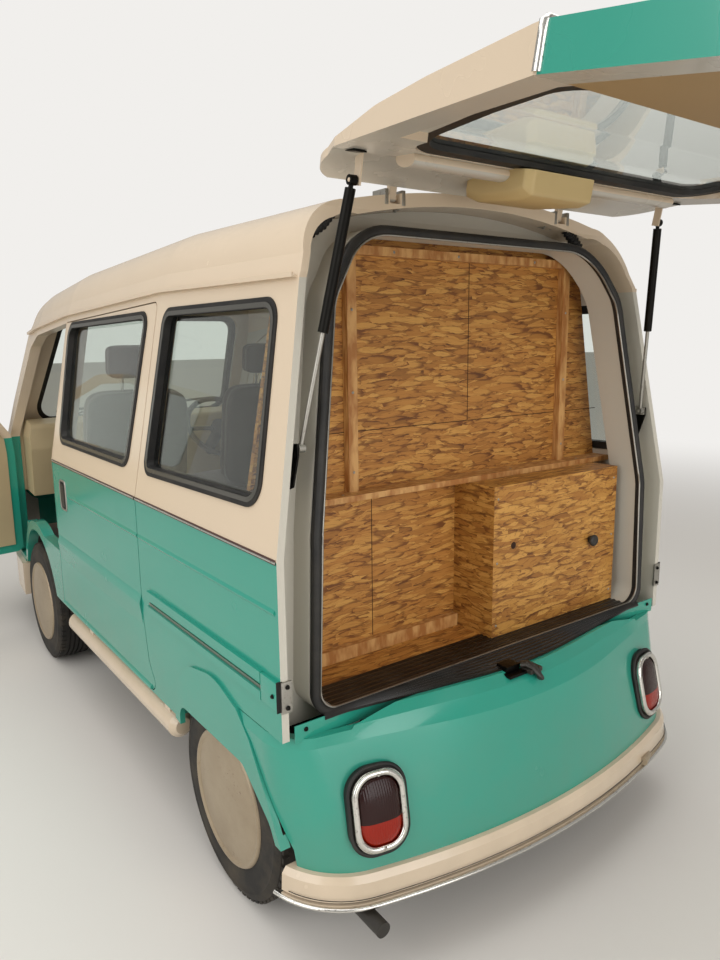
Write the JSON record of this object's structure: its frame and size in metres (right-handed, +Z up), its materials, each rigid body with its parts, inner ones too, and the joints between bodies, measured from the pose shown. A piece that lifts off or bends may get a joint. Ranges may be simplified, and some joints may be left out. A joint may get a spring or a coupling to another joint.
{
  "type": "kei van",
  "caption": "Retro-style kei van with raised tailgate, open front door, moulded rear panel with oval lamps, curved bumpers and a boarded load bay.",
  "frame": {"origin": "on the ground under the van, on its centre plane, midway between the axles", "axes": "+X forward, +Y to the van's left, +Z up"},
  "size_m": [4.239, 2.432, 1.8134],
  "materials": {
    "cream_paint": "gloss",
    "teal_paint": "gloss",
    "grey_primer": "matt",
    "rubber": "matt",
    "tyre": "matt",
    "glass": "clear",
    "lamp_red": "clear red",
    "chrome": "polished",
    "underbody": "satin",
    "engine": "rough",
    "seat_cloth": "woven",
    "cabin_plastic": "grained",
    "black_plastic": "grained",
    "board": "strand board",
    "wheel_paint": "gloss, rust specks",
    "black_paint": "satin",
    "bright_steel": "ground"
  },
  "bodies": {
    "body": {"roof": "cream_paint", "side_panel_left": "teal_paint", "side_panel_right": "teal_paint", "front_frame": "grey_primer", "nose_panel": "teal_paint", "front_bumper": "cream_paint", "rear_frame": "grey_primer", "rear_seal": "rubber", "rear_panel": "teal_paint", "rear_bumper": "cream_paint", "side_tubes": "cream_paint", "windscreen": "glass", "side_glass": "glass", "window_seals": "rubber", "sliding_door_left": "teal_paint", "sliding_door_right": "teal_paint", "floor_pan": "underbody", "front_axle": "underbody", "rear_axle": "underbody", "engine_block": "engine", "exhaust": "underbody", "fuel_tank": "underbody", "seat_bases": "underbody", "seat_cushions": "seat_cloth", "seat_backs": "seat_cloth", "dashboard": "cabin_plastic", "steering_column": "black_plastic", "load_boards": "board", "load_cabinet": "board", "tail_lamp_gaskets": "rubber", "lamp_rims": "chrome", "tail_lamp_lenses": "lamp_red", "headlamp_lenses": "glass"},
    "door_left": {"front_door_left": "teal_paint", "front_door_left_glass": "glass", "front_door_left_trim": "cabin_plastic", "mirror_left": "black_plastic"},
    "door_right": {"front_door_right": "teal_paint", "front_door_right_glass": "glass", "front_door_right_trim": "cabin_plastic", "mirror_right": "black_plastic"},
    "tailgate": {"tailgate": "cream_paint", "tailgate_glass": "glass", "tailgate_seal": "rubber", "tailgate_lining": "cabin_plastic"},
    "steering_wheel": {"steering_wheel": "black_plastic"},
    "knuckle_left": {"knuckle_left": "underbody"},
    "strut_tube_left": {"strut_tube_left": "black_paint"},
    "strut_rod_left": {"strut_rod_left": "bright_steel"},
    "knuckle_right": {"knuckle_right": "underbody"},
    "strut_tube_right": {"strut_tube_right": "black_paint"},
    "strut_rod_right": {"strut_rod_right": "bright_steel"},
    "wheel_front_left": {"wheel_front_left": "wheel_paint", "tyre_front_left": "tyre"},
    "wheel_front_right": {"wheel_front_right": "wheel_paint", "tyre_front_right": "tyre"},
    "wheel_rear_left": {"wheel_rear_left": "wheel_paint", "tyre_rear_left": "tyre"},
    "wheel_rear_right": {"wheel_rear_right": "wheel_paint", "tyre_rear_right": "tyre"}
  },
  "joints": [
    {"name": "steer_left", "type": "hinge", "parent": "body", "child": "knuckle_left", "pos_m": [0.9425, 0.5, 0.268], "axis": [0, 0, 1], "range_deg": [-33, 33]},
    {"name": "steer_right", "type": "hinge", "parent": "body", "child": "knuckle_right", "pos_m": [0.9425, -0.5, 0.268], "axis": [0, 0, 1], "range_deg": [-33, 33]},
    {"name": "spin_front_left", "type": "hinge", "parent": "knuckle_left", "child": "wheel_front_left", "pos_m": [0.9425, 0.61, 0.268], "axis": [0, 1, 0], "continuous": true},
    {"name": "spin_front_right", "type": "hinge", "parent": "knuckle_right", "child": "wheel_front_right", "pos_m": [0.9425, -0.61, 0.268], "axis": [0, 1, 0], "continuous": true},
    {"name": "spin_rear_left", "type": "hinge", "parent": "body", "child": "wheel_rear_left", "pos_m": [-0.9425, 0.61, 0.268], "axis": [0, 1, 0], "continuous": true},
    {"name": "spin_rear_right", "type": "hinge", "parent": "body", "child": "wheel_rear_right", "pos_m": [-0.9425, -0.61, 0.268], "axis": [0, 1, 0], "continuous": true},
    {"name": "steering_wheel_turn", "type": "hinge", "parent": "body", "child": "steering_wheel", "pos_m": [1.085, -0.315, 0.985], "axis": [-0.766, 0, 0.6428], "range_deg": [-529, 529]},
    {"name": "door_left_hinge", "type": "hinge", "parent": "body", "child": "door_left", "pos_m": [1.45, 0.662, 0.7], "axis": [0, 0, 1], "range_deg": [0, 78]},
    {"name": "door_right_hinge", "type": "hinge", "parent": "body", "child": "door_right", "pos_m": [1.45, -0.662, 0.7], "axis": [0, 0, 1], "range_deg": [0, 78]},
    {"name": "tailgate_hinge", "type": "hinge", "parent": "body", "child": "tailgate", "pos_m": [-1.14, 0, 1.75], "axis": [0, 1, 0], "range_deg": [-79, 0]},
    {"name": "strut_ball_left", "type": "hinge", "parent": "tailgate", "child": "strut_tube_left", "pos_m": [-1.307, 0.522, 1.737], "axis": [0.0309, 0.9992, -0.0264], "range_deg": [0, 97.8]},
    {"name": "strut_slide_left", "type": "slide", "parent": "strut_tube_left", "child": "strut_rod_left", "axis": [-0.1466, -0.1576, 0.9766], "range_m": [0, 0.1508]},
    {"name": "strut_ball_right", "type": "hinge", "parent": "tailgate", "child": "strut_tube_right", "pos_m": [-1.307, -0.522, 1.737], "axis": [-0.0309, 0.9992, 0.0264], "range_deg": [0, 97.8]},
    {"name": "strut_slide_right", "type": "slide", "parent": "strut_tube_right", "child": "strut_rod_right", "axis": [-0.1466, 0.1576, 0.9766], "range_m": [0, 0.1508]}
  ],
  "couplings": [
    {"joint": "steer_right", "follows": "steer_left", "ratio": 1},
    {"joint": "steering_wheel_turn", "follows": "steer_left", "ratio": 16},
    {"joint": "strut_ball_left", "follows": "tailgate_hinge", "ratio": -1.2371},
    {"joint": "strut_slide_left", "follows": "tailgate_hinge", "m_per_rad": -0.1093},
    {"joint": "strut_ball_right", "follows": "tailgate_hinge", "ratio": -1.2371},
    {"joint": "strut_slide_right", "follows": "tailgate_hinge", "m_per_rad": -0.1093}
  ]
}
